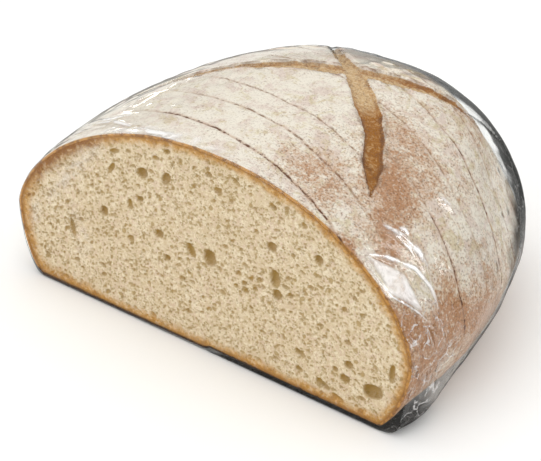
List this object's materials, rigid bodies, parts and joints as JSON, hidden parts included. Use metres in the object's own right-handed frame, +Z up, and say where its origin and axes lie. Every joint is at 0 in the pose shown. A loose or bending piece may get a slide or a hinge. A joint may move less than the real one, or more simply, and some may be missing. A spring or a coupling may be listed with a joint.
{
  "type": "half loaf of bread in clear film",
  "caption": "Half of an oval country loaf, sliced through and shut tight in clear film: a floured dome with a scored cross, flat underneath and cut off square at one end",
  "frame": {"origin": "middle of the bottom of the bounding box, on the plane of the underside", "axes": "+Z up; the flat cut end faces -Y and the rounded end of the loaf points along +Y; +X is the long side of the cut end, to the right of a viewer who faces that end"},
  "size_m": [0.1848, 0.1432, 0.0877],
  "materials": {
    "crust": "matt floury baked crust, tan where the flour is thin",
    "crumb": "matt cream crumb with fine pores",
    "film": "clear glossy film with pressed creases"
  },
  "bodies": {
    "root": {"film_wrapped_half_loaf": "crust"}
  },
  "joints": []
}
